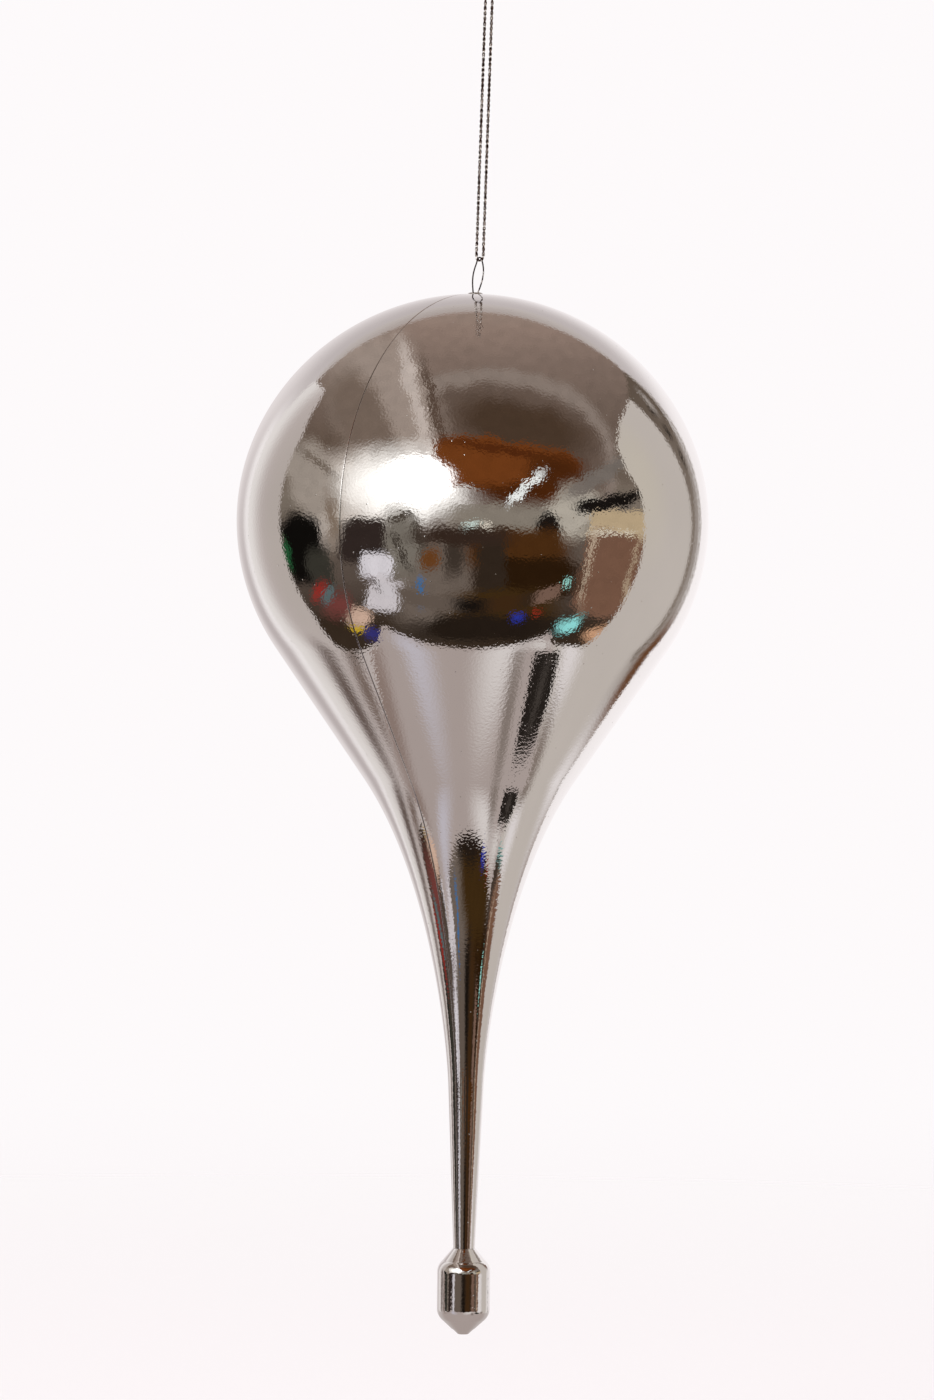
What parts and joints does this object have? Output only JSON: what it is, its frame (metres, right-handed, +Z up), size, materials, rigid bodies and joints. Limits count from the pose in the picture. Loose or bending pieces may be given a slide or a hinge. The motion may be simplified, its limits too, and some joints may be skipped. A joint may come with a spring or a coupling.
{
  "type": "hanging drop ornament",
  "caption": "Large mirror-silver drop ornament in plumb-bob shape: hollow round body, slim stem and small tip bob, hung by a wire eye from a loop of twisted cord.",
  "frame": {"origin": "the point under the cord's knot where a hook holds the loop", "axes": "+Z up along the hanging ornament's upright axis, +X to the right as seen from the front, front towards -Y"},
  "size_m": [0.1798, 0.1797, 0.5339],
  "materials": {
    "mirror_shell": "vacuum-metallised mirror silver with a fine orange peel",
    "mirror_tip": "vacuum-metallised mirror silver",
    "cap": "metallised silver, slightly dull",
    "wire": "drawn spring wire",
    "cord": "twisted two-ply metallic silver yarn"
  },
  "bodies": {
    "cord_loop": {"hanging_cord": "cord", "cord_knot": "cord"},
    "hanger": {"wire_hanger": "wire"},
    "cap": {"hanger_cap": "cap"},
    "drop": {"left_half_shell": "mirror_shell", "right_half_shell": "mirror_shell", "tip_bob": "mirror_tip"}
  },
  "joints": [
    {"name": "hanger_swing", "type": "hinge", "parent": "cord_loop", "child": "hanger", "pos_m": [-0.00243, 0, -0.1032], "axis": [0.6428, -0.766, 0], "range_deg": [-60, 60]},
    {"name": "cap_rock", "type": "hinge", "parent": "hanger", "child": "cap", "pos_m": [-0.00393, -0.00125, -0.1178], "axis": [0.766, 0.6428, 0], "range_deg": [-12, 12]},
    {"name": "drop_swivel", "type": "hinge", "parent": "cap", "child": "drop", "pos_m": [-0.00393, -0.00125, -0.1178], "axis": [0, 0, 1], "continuous": true}
  ]
}
